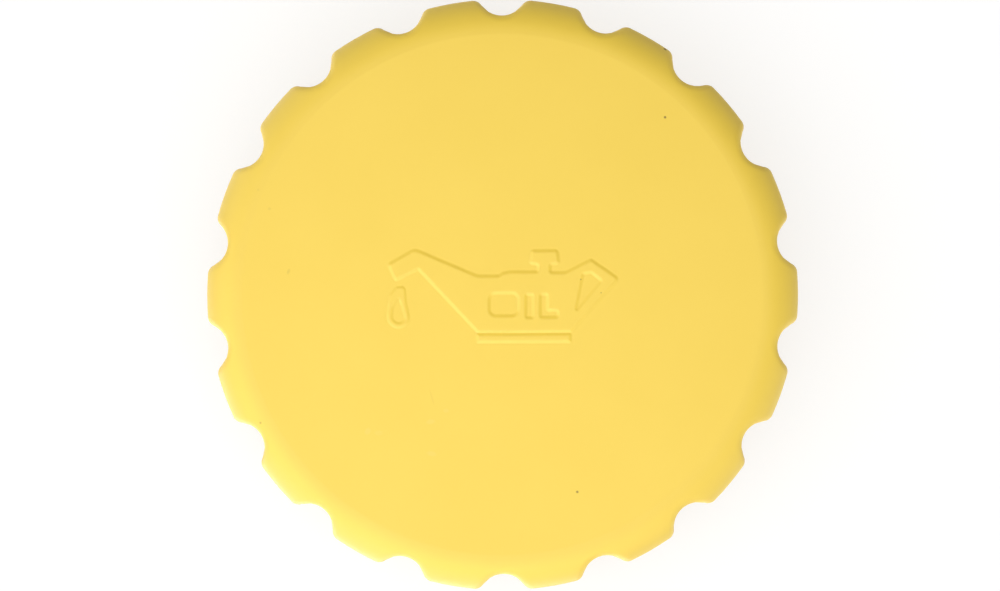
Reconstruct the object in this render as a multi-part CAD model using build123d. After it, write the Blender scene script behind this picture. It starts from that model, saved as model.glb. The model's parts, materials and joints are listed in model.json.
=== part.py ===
from build123d import *
import math
import os

# Oil filler cap, in millimetres. The axis is Z with the flat top upward, and the origin is the centre
# of the plug's lower end, which the cap stands on. A grip tooth is centred on +X.

# Grip
grip_diameter = 70.0  # over the teeth, at the skirt's lower edge
grip_height = 16.0  # from the skirt's lower edge to the flat top
top_wall = 2.6
skirt_wall = 2.2
skirt_draft = 0.8  # degrees, narrower towards the top so that the moulding leaves its tool
shoulder_radius = 4.2  # rounding between the flat top and the skirt
inside_radius = 0.8  # least rounding between the top wall and the skirt inside
rim_radius = 0.4  # rounding of the skirt's lower outer edge

# Finger notches round the grip
notch_count = 18
notch_radius = 2.75
notch_depth = 1.95  # below the teeth
notch_edge_radius = 1.2  # rounding where a notch meets the skirt and the shoulder

# Screw plug
plug_core_diameter = 36.0  # at the root of the screw thread
plug_wall = 2.8
plug_projection = 8.0  # below the skirt's lower edge
plug_lead_in = 0.8  # chamfer on the plug's lower outer edge
plug_mouth_chamfer = 0.4  # chamfer on the plug's lower inner edge
plug_root_radius = 1.5  # rounding between the plug's hollow and the top wall
thread_height = 1.5  # how far the screw thread stands out from the core

# Gasket and its seat
gasket_width = 5.0  # radial
gasket_thickness = 3.0
gasket_edge_radius = 0.5
gasket_pass = 0.3  # radial room for the gasket to pass the thread
gasket_inner_clearance = 0.15  # radial, between the centring collar and the gasket
gasket_outer_clearance = 0.3  # radial, between the gasket and its retaining ring
seat_depth = 2.0  # height of the collar and the retaining ring
retainer_wall = 1.4

# Stiffening ribs from the retaining ring to the skirt, one behind each notch
rib_thickness = 1.2
rib_height = 6.5  # at the skirt

# Levels
skirt_z = plug_projection
top_z = skirt_z + grip_height
underside_z = top_z - top_wall
seat_z = underside_z - seat_depth
gasket_z = underside_z - gasket_thickness

# Radii
grip_radius = grip_diameter / 2
notch_floor_radius = grip_radius - notch_depth
notch_centre_radius = notch_floor_radius + notch_radius
plug_radius = plug_core_diameter / 2
hollow_radius = plug_radius - plug_wall
collar_radius = plug_radius + thread_height + gasket_pass
gasket_inner_radius = collar_radius + gasket_inner_clearance
gasket_outer_radius = gasket_inner_radius + gasket_width
retainer_inner_radius = gasket_outer_radius + gasket_outer_clearance
retainer_outer_radius = retainer_inner_radius + retainer_wall

draft_slope = math.tan(math.radians(skirt_draft))
notch_angles = [360 * (i + 0.5) / notch_count for i in range(notch_count)]


def drafted(radius, z):
    """Radius at a height of a drafted wall that has the given radius at the skirt's lower edge."""
    return radius - (z - skirt_z) * draft_slope


def half_section(*points):
    """Face of a half section from its (radius, height) points."""
    return make_face(Polyline(*points, close=True))


def round_corner(section, point, radius):
    """The half section with the corner at a point rounded."""
    corner = section.vertices().sort_by_distance(point)[0]
    return fillet(corner, radius)


def turn(section):
    """Solid turned about the axis from a half section."""
    return revolve(Plane.XZ * section, Axis.Z)


def notch_bars(wall):
    """A drafted bar along every notch, as thick as the notch with a wall round it."""
    foot_radius = notch_radius + wall
    head_radius = foot_radius + grip_height * draft_slope
    on_foot = (Align.CENTER, Align.CENTER, Align.MIN)
    bar = Cone(foot_radius, head_radius, grip_height, align=on_foot)
    return [Rot(0, 0, angle) * Pos(notch_centre_radius, 0, skirt_z) * bar for angle in notch_angles]


def make_grip():
    """Top and scalloped skirt, still solid inside."""
    shoulder = (drafted(grip_radius, top_z), top_z)
    section = half_section((0, skirt_z), (grip_radius, skirt_z), shoulder, (0, top_z))
    blank = turn(round_corner(section, shoulder, shoulder_radius))
    bars = notch_bars(0)
    grip = blank - bars
    grip = fillet(new_edges(blank, *bars, combined=grip), notch_edge_radius)
    rim = grip.faces().sort_by(Axis.Z)[0].outer_wire()
    return fillet(rim.edges(), rim_radius)


def make_cavity():
    """Space under the top wall, which leaves the skirt equally thick at the teeth and the notches."""
    foot_radius = grip_radius - skirt_wall
    corner = (drafted(foot_radius, underside_z), underside_z)
    section = half_section((0, skirt_z), (foot_radius, skirt_z), corner, (0, underside_z))
    rounding = max(shoulder_radius - skirt_wall, inside_radius)
    return turn(round_corner(section, corner, rounding)) - notch_bars(skirt_wall)


def make_plug():
    """Plug with its centring collar, up to the top wall."""
    return turn(
        half_section(
            (0, 0),
            (plug_radius - plug_lead_in, 0),
            (plug_radius, plug_lead_in),
            (plug_radius, seat_z),
            (collar_radius, seat_z),
            (collar_radius, underside_z),
            (0, underside_z),
        )
    )


def make_hollow():
    """Space inside the plug."""
    corner = (hollow_radius, underside_z)
    section = half_section(
        (0, 0),
        (hollow_radius + plug_mouth_chamfer, 0),
        (hollow_radius, plug_mouth_chamfer),
        corner,
        (0, underside_z),
    )
    return turn(round_corner(section, corner, plug_root_radius))


def make_retainer():
    """Ring that keeps the gasket from spreading."""
    return turn(
        half_section(
            (retainer_inner_radius, seat_z),
            (retainer_outer_radius, seat_z),
            (retainer_outer_radius, underside_z),
            (retainer_inner_radius, underside_z),
        )
    )


def make_ribs():
    """Gussets that rise from the skirt to the retaining ring, behind the notches."""
    inner_radius = retainer_outer_radius - retainer_wall / 2
    outer_radius = notch_floor_radius - skirt_wall / 2
    side = half_section(
        (inner_radius, seat_z),
        (outer_radius, underside_z - rib_height),
        (outer_radius, underside_z),
        (inner_radius, underside_z),
    )
    rib = extrude(Plane.XZ * side, rib_thickness / 2, both=True)
    return [Rot(0, 0, angle) * rib for angle in notch_angles]


def make_cap_body():
    """The whole moulding."""
    body = make_grip() - make_cavity()
    body += [make_plug(), make_retainer(), *make_ribs()]
    return body - make_hollow()


def make_sealing_gasket():
    """Flat rubber ring, seated on the underside of the top wall."""
    section = half_section(
        (gasket_inner_radius, gasket_z),
        (gasket_outer_radius, gasket_z),
        (gasket_outer_radius, underside_z),
        (gasket_inner_radius, underside_z),
    )
    return turn(fillet(section.vertices(), gasket_edge_radius))


os.makedirs("parts", exist_ok=True)
for name, shape in {"cap_body": make_cap_body(), "sealing_gasket": make_sealing_gasket()}.items():
    shape.label = name
    export_step(shape, f"parts/{name}.step")
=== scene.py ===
import bmesh
import bpy
import json
import math
from mathutils import Matrix, Vector


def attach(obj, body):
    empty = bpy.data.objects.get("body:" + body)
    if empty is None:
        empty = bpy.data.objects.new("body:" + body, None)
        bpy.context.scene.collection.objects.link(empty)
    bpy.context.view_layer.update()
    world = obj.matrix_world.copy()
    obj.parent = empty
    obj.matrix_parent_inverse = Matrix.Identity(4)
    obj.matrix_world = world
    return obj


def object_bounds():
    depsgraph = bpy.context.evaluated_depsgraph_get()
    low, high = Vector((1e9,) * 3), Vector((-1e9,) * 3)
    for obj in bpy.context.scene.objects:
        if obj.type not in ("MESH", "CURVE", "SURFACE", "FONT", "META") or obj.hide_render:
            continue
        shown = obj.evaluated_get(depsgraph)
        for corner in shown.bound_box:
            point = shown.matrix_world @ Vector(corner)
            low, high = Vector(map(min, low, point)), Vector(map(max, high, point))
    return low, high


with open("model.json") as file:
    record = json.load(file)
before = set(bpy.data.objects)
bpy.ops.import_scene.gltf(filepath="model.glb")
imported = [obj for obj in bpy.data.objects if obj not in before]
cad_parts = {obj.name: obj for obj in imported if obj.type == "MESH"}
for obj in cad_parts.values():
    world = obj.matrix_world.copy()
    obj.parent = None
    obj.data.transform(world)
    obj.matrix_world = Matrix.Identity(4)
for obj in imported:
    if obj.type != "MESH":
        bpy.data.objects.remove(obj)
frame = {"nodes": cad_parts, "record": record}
cad_low, cad_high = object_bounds()

# Sizes of the cap, in millimetres
MM = 0.001
top_z = cad_high.z / MM
grip_radius = cad_high.x / MM
plug = next(mount for mount in frame["record"]["mounts"] if mount["name"] == "screw_plug")
plug_radius = plug["dims"]["r_mm"]
plug_low = plug["pos_m"][2] / MM - plug["dims"]["length_mm"] / 2

# Raised sign on the top, in millimetres from the cap's axis, X to the right and Y up as it is read.
# Every outline runs clockwise, half way up the sign's slope, and a corner is (x, y, rounding).
can_outline = [
    (-13.41, 3.57, 0.3),
    (-10.33, 5.33, 1.1),
    (-2.93, 2.16, 1.8),
    (-0.4, 2.18, 0.3),
    (0.0, 2.48, 0.3),
    (0.79, 2.66, 0.6),
    (4.17, 2.64, 0.25),
    (4.17, 3.57, 0.3),
    (3.28, 3.72, 0.25),
    (3.5, 5.13, 0.3),
    (6.4, 5.13, 0.3),
    (6.6, 3.72, 0.25),
    (5.58, 3.57, 0.3),
    (5.58, 2.54, 0.3),
    (7.4, 2.54, 1.2),
    (10.38, 4.05, 0.4),
    (13.55, 1.84, 0.35),
    (7.99, -4.35, 0.2),
    (-2.93, -4.35, 0.3),
    (-9.88, 3.08, 0.3),
    (-12.56, 1.74, 0.3),
]
handle_hole = [(9.43, 2.43, 0.35), (10.43, 2.63, 0.4), (11.67, 1.64, 0.3), (8.54, -2.09, 0.12)]
letter_o = [(-1.6, 0.22, 0.8), (1.89, 0.22, 0.8), (1.89, -2.51, 0.8), (-1.6, -2.51, 0.8)]
letter_i = [(2.71, 0.05, 0.25), (3.55, 0.05, 0.25), (3.55, -2.73, 0.25), (2.71, -2.73, 0.25)]
letter_l = [
    (4.41, 0.05, 0.25),
    (5.27, 0.05, 0.25),
    (5.27, -1.83, 0.15),
    (6.55, -1.83, 0.35),
    (6.55, -2.68, 0.35),
    (4.41, -2.68, 0.25),
]
base_bar = [(-2.98, -4.67, 0.1), (7.91, -4.67, 0.1), (7.91, -5.52, 0.1), (-2.98, -5.52, 0.1)]
drop_outline = [
    (-12.43, 0.9, 0.3),
    (-11.52, 0.9, 0.35),
    (-11.4, -0.75, 1.5),
    (-10.75, -3.82, 1.2),
    (-13.65, -3.82, 1.3),
    (-13.3, -0.15, 0.5),
]
drop_hollow = [(-12.15, -0.2, 0.15), (-11.25, -3.33, 0.7), (-13.05, -3.33, 0.8), (-13.0, -1.6, 0.8)]
sign_height, sign_slope = 0.16, 0.53  # the slope is the soft edge's width, seen from above
drop_height, drop_slope = 0.1, 0.4
foot_flare, foot_sink = 0.1, 0.02  # the slope's foot runs on outwards and down, under the top
least_rounding = 0.01
slope_steps = 8
corner_steps = 6

# Coarse right-handed screw thread on the plug, in millimetres
thread_height = 1.5
thread_pitch = 5.0
thread_turns = 2.2
thread_foot = 2.2  # from the plug's lower end to the middle of the thread's first turn
thread_root_width = 3.0
thread_crest_width = 1.3
thread_flat = 0.6  # share of the crest's width that is flat
thread_bevel = 0.25  # share of the height that is bevelled at the crest
thread_sink = 0.3  # how far the thread reaches into the plug
thread_run_out = 50  # degrees over which each end fades
thread_end_width = 0.4  # share of its width that an end keeps
thread_end_way = 0.02  # share of the run-out that an end starts at, so that its face has an area
thread_steps = 96  # per turn

# Yellow plastic and black rubber. A noise is the size of its lumps in millimetres and its detail.
plastic_deep = (0.89, 0.62, 0.06, 1)
plastic_light = (0.92, 0.65, 0.074, 1)
plastic_clouds = (11, 3.0)
plastic_grain = (0.33, 2.0)
plastic_grain_depth = 0.0015  # millimetres
plastic_roughness = (0.46, 0.58)
plastic_refraction = 1.58
rubber_deep = (0.012, 0.012, 0.013, 1)
rubber_light = (0.03, 0.03, 0.031, 1)
rubber_grain = (0.5, 4.0)
rubber_grain_depth = 0.01  # millimetres
rubber_roughness = (0.5, 0.7)

# Marks on the plastic, in millimetres:
# (x, y, how far below the top, length, width, turn in degrees, strength)
dark_marks = [
    (19.15, 20.78, 0.0, 0.3, 0.3, 0, 0.9),
    (8.7, -23.2, 0.0, 0.3, 0.3, 0, 0.78),
    (19.22, 28.83, 3.09, 0.4, 0.4, 0, 1.0),
    (-28.5, -14.97, 0.32, 0.3, 0.3, 0, 0.4),
    (9.2, 1.76, -0.15, 0.2, 0.2, 0, 0.5),
    (11.57, 0.19, 0.0, 0.2, 0.2, 0, 0.5),
    (-25.15, 2.8, 0.0, 0.7, 0.35, 70, 0.13),
    (-28.68, 12.4, 0.05, 0.35, 0.35, 0, 0.06),
    (-27.36, 10.18, 0.0, 0.4, 0.35, 0, 0.09),
    (-8.35, -12.05, 0.0, 1.9, 0.24, -74, 0.06),
]
pale_marks = [
    (-8.5, -14.9, 0.0, 1.1, 0.6, 10, 0.12),
    (-8.4, -18.65, 0.0, 1.2, 0.6, -10, 0.12),
    (-15.9, -16.0, 0.0, 0.9, 0.7, 60, 0.12),
    (-14.6, -16.2, 0.0, 1.0, 0.6, 0, 0.08),
    (-6.7, -13.6, 0.0, 0.7, 0.5, 0, 0.1),
]
dark_mark_colour = (0.2, 0.105, 0.004, 1)
pale_mark_colour = (0.95, 0.76, 0.3, 1)
mark_reach = 0.35  # up and down
mark_core, mark_rim = 0.5, 1.3  # shares of its half size between which a mark fades

# Stage and light, in metres, degrees and watts
floor_size = 6.0
floor_shade = 0.3  # share of the light that the floor gives back
floor_glow = 0.76  # the floor's own light
light_turn = 240  # the light comes from the lower left of the view
# The sky at the horizon: share of the way from the far side to the light side, and level
sky_levels = [(0.0, 0.2), (0.25, 0.2), (0.5, 1.9), (0.75, 0.8), (1.0, 0.2)]
zenith_level = 0.28
horizon_end, zenith_start = 0.3, 0.8  # sines of the elevations between which the sky changes
key_distance = 0.21
key_elevation = 75
key_size = 0.24
key_power = 0.338
card_distance = 0.35
card_turn = 236
card_width = 1.0
cards = {"low card": (-25, 0.48, 5.4), "high card": (37, 0.31, 2.65)}  # elevation, height, power

# Camera, in metres and degrees, with the photo's frame in pixels
camera_height = 1.2  # above the middle of the cap
camera_roll = -0.18
photo_width, photo_height = 1000, 591
photo_axis_x, photo_axis_y = 502.6, 294.7
photo_grip = 589.8  # across the teeth
pixel = 2 * grip_radius * MM / photo_grip  # at the middle of the cap


def walk(corners):
    """For each corner, the place before it, its own, the one after it, and its rounding."""
    places = [Vector((x, y)) for x, y, rounding in corners]
    roundings = [rounding for x, y, rounding in corners]
    return zip(places[-1:] + places[:-1], places, places[1:] + places[:1], roundings)


def offset(corners, distance):
    """The outline moved to its right, with its roundings kept concentric."""
    moved = []
    for before, here, after, rounding in walk(corners):
        come = (here - before).normalized()
        go = (after - here).normalized()
        right = -(come.orthogonal() + go.orthogonal()) / (1 + come.dot(go))
        growth = -distance if come.cross(go) < 0 else distance
        moved.append((*(here + right * distance), max(rounding + growth, least_rounding)))
    return moved


def rounded(corners):
    """Points of an outline, with an arc at every corner."""
    points = []
    for before, here, after, rounding in walk(corners):
        back, ahead = before - here, after - here
        half = back.angle(ahead) / 2
        reach = min(rounding / math.tan(half), back.length / 2, ahead.length / 2)
        start = here + back.normalized() * reach
        end = here + ahead.normalized() * reach
        inward = (back.normalized() + ahead.normalized()).normalized()
        centre = here + inward * (reach / math.cos(half))
        arc = (end - centre).angle_signed(start - centre)
        for step in range(corner_steps + 1):
            turn = Matrix.Rotation(arc * step / corner_steps, 2)
            points.append(centre + turn @ (start - centre))
    return points


def eased(share):
    """A share from 0 to 1 that starts and ends gently."""
    return share * share * (3 - 2 * share)


def join_rings(mesh, rings, smooth):
    """Faces from each ring of points to the next."""
    for low, high in zip(rings, rings[1:]):
        for i in range(len(low)):
            mesh.faces.new((low[i - 1], low[i], high[i], high[i - 1])).smooth = smooth


def rim_edges(mesh, ring):
    """Edges round a ring of points."""
    return [mesh.edges.get((ring[i - 1], ring[i])) for i in range(len(ring))]


def raise_relief(mesh, height, slope, outline, holes=()):
    """Adds a raised shape with soft slopes to a bmesh."""
    shares = [step / slope_steps for step in range(slope_steps + 1)]
    levels = [(slope * (share - 0.5), height * eased(share)) for share in shares]
    levels.insert(0, (-slope / 2 - foot_flare, -foot_sink))
    foot, roof = [], []
    for loop, side in [(outline, 1), *((hole, -1) for hole in holes)]:
        rings = []
        for inward, rise in levels:
            points = rounded(offset(loop, side * inward))
            rings.append([mesh.verts.new((p.x * MM, p.y * MM, (top_z + rise) * MM)) for p in points])
        join_rings(mesh, rings, smooth=True)
        foot += rim_edges(mesh, rings[0])
        roof += rim_edges(mesh, rings[-1])
    bmesh.ops.triangle_fill(mesh, edges=foot, use_beauty=True)
    bmesh.ops.triangle_fill(mesh, edges=roof, use_beauty=True)


def add_object(name, data):
    """A new object in the scene."""
    made = bpy.data.objects.new(name, data)
    bpy.context.scene.collection.objects.link(made)
    return made


def add_mesh(name, mesh):
    """A new object in the scene, from a bmesh."""
    data = bpy.data.meshes.new(name)
    mesh.to_mesh(data)
    mesh.free()
    return add_object(name, data)


def add_piece(name, mesh):
    """A piece of the cap from a bmesh, with outward normals, that rides with the moulding."""
    bmesh.ops.recalc_face_normals(mesh, faces=mesh.faces)
    piece = add_mesh(name, mesh)
    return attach(piece, "root")


def make_sign():
    """Oil can with its drop and base bar, raised from the top, with the letters let into the can."""
    mesh = bmesh.new()
    raise_relief(mesh, sign_height, sign_slope, can_outline, [handle_hole, letter_o, letter_i, letter_l])
    raise_relief(mesh, sign_height, sign_slope, base_bar)
    raise_relief(mesh, drop_height, drop_slope, drop_outline, [drop_hollow])
    return add_piece("oil_can_sign", mesh)


def thread_section(share):
    """(radius, height) points across the thread, at a share of its full size."""
    width = thread_end_width + (1 - thread_end_width) * share
    half_root = thread_root_width / 2 * width
    half_crest = thread_crest_width / 2 * width
    crest = plug_radius + thread_height * share
    lower_half = [
        (plug_radius - thread_sink, -half_root),
        (plug_radius, -half_root),
        (crest - thread_bevel * thread_height * share, -half_crest),
        (crest, -half_crest * thread_flat),
    ]
    return lower_half + [(radius, -height) for radius, height in reversed(lower_half)]


def make_thread():
    """Helical ridge round the plug, fading out at both ends."""
    mesh = bmesh.new()
    rings = []
    for step in range(round(thread_turns * thread_steps) + 1):
        angle = 360 * step / thread_steps
        way = min(angle, 360 * thread_turns - angle) / thread_run_out
        share = eased(max(thread_end_way, min(1.0, way)))
        middle = plug_low + thread_foot + thread_pitch * angle / 360
        cos, sin = math.cos(math.radians(angle)), math.sin(math.radians(angle))
        section = [(r * cos, r * sin, middle + z) for r, z in thread_section(share)]
        rings.append([mesh.verts.new(Vector(point) * MM) for point in section])
    join_rings(mesh, rings, smooth=False)
    mesh.faces.new(rings[0])
    mesh.faces.new(rings[-1])
    return add_piece("screw_thread", mesh)


def fill(node, inputs):
    """Gives a node's inputs a value or another node's output each."""
    for socket, value in inputs.items():
        if isinstance(value, bpy.types.NodeSocket):
            node.id_data.links.new(value, node.inputs[socket])
        else:
            node.inputs[socket].default_value = value


def add_node(tree, kind, inputs=None, **settings):
    """A new shader node with its inputs and settings."""
    node = tree.nodes.new(kind)
    for setting, value in settings.items():
        setattr(node, setting, value)
    fill(node, inputs or {})
    return node


def new_material(name):
    """A node material that has only a shader, and that shader."""
    material = bpy.data.materials.new(name)
    material.use_nodes = True
    tree = material.node_tree
    tree.nodes.clear()
    shader = add_node(tree, "ShaderNodeBsdfPrincipled")
    add_node(tree, "ShaderNodeOutputMaterial", {"Surface": shader.outputs[0]})
    return material, shader


def position_in_mm(tree):
    """Position on the cap, in millimetres."""
    metres = add_node(tree, "ShaderNodeTexCoord").outputs["Object"]
    inputs = {0: metres, "Scale": 1 / MM}
    return add_node(tree, "ShaderNodeVectorMath", inputs, operation="SCALE").outputs[0]


def noise(tree, position, size, detail):
    """Soft noise from 0 to 1, with lumps of about a size in millimetres."""
    inputs = {"Vector": position, "Scale": 1 / size, "Detail": detail}
    return add_node(tree, "ShaderNodeTexNoise", inputs).outputs[0]


def mixed(tree, share, first, second):
    """Colour between two colours, which are sockets 6 and 7 of the node."""
    inputs = {0: share, 6: first, 7: second}
    return add_node(tree, "ShaderNodeMix", inputs, data_type="RGBA").outputs[2]


def mark_mask(tree, position, marks):
    """How strongly a list of marks shows at a position, from 0 to 1."""
    mask = 0.0
    for x, y, below, length, width, turn, strength in marks:
        place = {
            "Vector": position,
            "Location": (x, y, top_z - below),
            "Rotation": (0, 0, math.radians(turn)),
            "Scale": (length / 2, width / 2, mark_reach),
        }
        local = add_node(tree, "ShaderNodeMapping", place, vector_type="TEXTURE").outputs[0]
        distance = add_node(tree, "ShaderNodeVectorMath", {0: local}, operation="LENGTH").outputs["Value"]
        fade = {"Value": distance, "From Min": mark_rim, "From Max": mark_core, "To Max": strength}
        spot = add_node(tree, "ShaderNodeMapRange", fade, interpolation_type="SMOOTHSTEP").outputs[0]
        mask = add_node(tree, "ShaderNodeMath", {0: spot, 1: mask}, operation="MAXIMUM").outputs[0]
    return mask


def grained(tree, grain, roughness, depth):
    """Shader inputs for a grain: roughness between two values, and a bump with a depth in millimetres."""
    low, high = roughness
    rough = add_node(tree, "ShaderNodeMapRange", {"Value": grain, "To Min": low, "To Max": high})
    bump = add_node(tree, "ShaderNodeBump", {"Height": grain, "Distance": depth * MM})
    return {"Roughness": rough.outputs[0], "Normal": bump.outputs[0]}


def make_plastic():
    """Yellow moulded plastic, faintly clouded, with a fine grain, specks of dirt and pale smudges."""
    material, shader = new_material("yellow_plastic")
    tree = material.node_tree
    position = position_in_mm(tree)
    clouded = mixed(tree, noise(tree, position, *plastic_clouds), plastic_deep, plastic_light)
    paler = mixed(tree, mark_mask(tree, position, pale_marks), clouded, pale_mark_colour)
    marked = mixed(tree, mark_mask(tree, position, dark_marks), paler, dark_mark_colour)
    grain = noise(tree, position, *plastic_grain)
    fill(shader, {"Base Color": marked, "IOR": plastic_refraction})
    fill(shader, grained(tree, grain, plastic_roughness, plastic_grain_depth))
    return material


def make_rubber():
    """Black rubber with a fine grain."""
    material, shader = new_material("black_rubber")
    tree = material.node_tree
    grain = noise(tree, position_in_mm(tree), *rubber_grain)
    fill(shader, {"Base Color": mixed(tree, grain, rubber_deep, rubber_light)})
    fill(shader, grained(tree, grain, rubber_roughness, rubber_grain_depth))
    return material


def coat(piece, material):
    """Gives all of a piece one material."""
    piece.data.materials.clear()
    piece.data.materials.append(material)


def grey(level):
    """A grey colour."""
    return (level, level, level, 1)


def make_floor():
    """Plain pale floor, which the gloss of the cap doesn't mirror."""
    mesh = bmesh.new()
    bmesh.ops.create_grid(mesh, x_segments=1, y_segments=1, size=floor_size / 2)
    floor = add_mesh("floor", mesh)
    material, shader = new_material("pale_floor")
    fill(shader, {"Base Color": grey(floor_shade), "Specular IOR Level": 0})
    fill(shader, {"Emission Color": grey(1), "Emission Strength": floor_glow})
    coat(floor, material)
    floor.visible_glossy = False


def direction(turn, elevation):
    """Unit vector from the cap, turned from +X and raised above the floor by angles in degrees."""
    turn, elevation = math.radians(turn), math.radians(elevation)
    level = Vector((math.cos(turn), math.sin(turn), 0))
    return level * math.cos(elevation) + Vector((0, 0, math.sin(elevation)))


def make_sky():
    """Soft light from all round: bright to both sides, dim overhead and along the light's way."""
    world = bpy.data.worlds.new("studio")
    bpy.context.scene.world = world
    world.use_nodes = True
    tree = world.node_tree
    way = add_node(tree, "ShaderNodeTexCoord").outputs["Generated"]
    to_light = {0: way, 1: direction(light_turn, 0)}
    side = add_node(tree, "ShaderNodeVectorMath", to_light, operation="DOT_PRODUCT").outputs["Value"]
    share = add_node(tree, "ShaderNodeMapRange", {"Value": side, "From Min": -1.0}).outputs[0]
    horizon = add_node(tree, "ShaderNodeValToRGB", {0: share})
    for place, level in sky_levels[1:-1]:
        horizon.color_ramp.elements.new(place)
    for element, (place, level) in zip(horizon.color_ramp.elements, sky_levels):
        element.position = place
        element.color = grey(level)
    height = add_node(tree, "ShaderNodeSeparateXYZ", {0: way}).outputs["Z"]
    change = {"Value": height, "From Min": horizon_end, "From Max": zenith_start}
    overhead = add_node(tree, "ShaderNodeMapRange", change, interpolation_type="SMOOTHSTEP").outputs[0]
    sky = mixed(tree, overhead, horizon.outputs[0], grey(zenith_level))
    fill(tree.nodes["Background"], {"Color": sky})


def add_light(name, turn, elevation, distance, width, height, power):
    """A soft oval light, aimed at the cap."""
    data = bpy.data.lights.new(name, "AREA")
    data.shape = "ELLIPSE"
    data.size = width
    data.size_y = height
    data.energy = power
    light = add_object(name, data)
    way = direction(turn, elevation)
    light.location = way * distance
    light.rotation_euler = way.to_track_quat("Z", "Y").to_euler()
    light.visible_camera = False
    return light


def make_lights():
    """A key light for the matt side of the finish, and two cards that only the gloss mirrors."""
    key = add_light("key", light_turn, key_elevation, key_distance, key_size, key_size, key_power)
    key.visible_glossy = False
    for name, (elevation, height, power) in cards.items():
        card = add_light(name, card_turn, elevation, card_distance, card_width, height, power)
        card.visible_diffuse = False


def make_camera():
    """Camera straight above the cap, with a long lens."""
    data = bpy.data.cameras.new("camera")
    data.lens = data.sensor_width * camera_height / (photo_width * pixel)
    camera = add_object("camera", data)
    camera_x = (photo_width / 2 - photo_axis_x) * pixel
    camera_y = (photo_axis_y - photo_height / 2) * pixel
    camera.location = (camera_x, camera_y, camera_height + top_z * MM / 2)
    camera.rotation_euler = (0, 0, math.radians(camera_roll))
    bpy.context.scene.camera = camera


sign = make_sign()
thread = make_thread()
plastic = make_plastic()
for piece in (frame["nodes"]["cap_body"], sign, thread):
    coat(piece, plastic)
coat(frame["nodes"]["sealing_gasket"], make_rubber())
make_floor()
make_sky()
make_lights()
make_camera()
bpy.context.scene.view_settings.view_transform = "Standard"
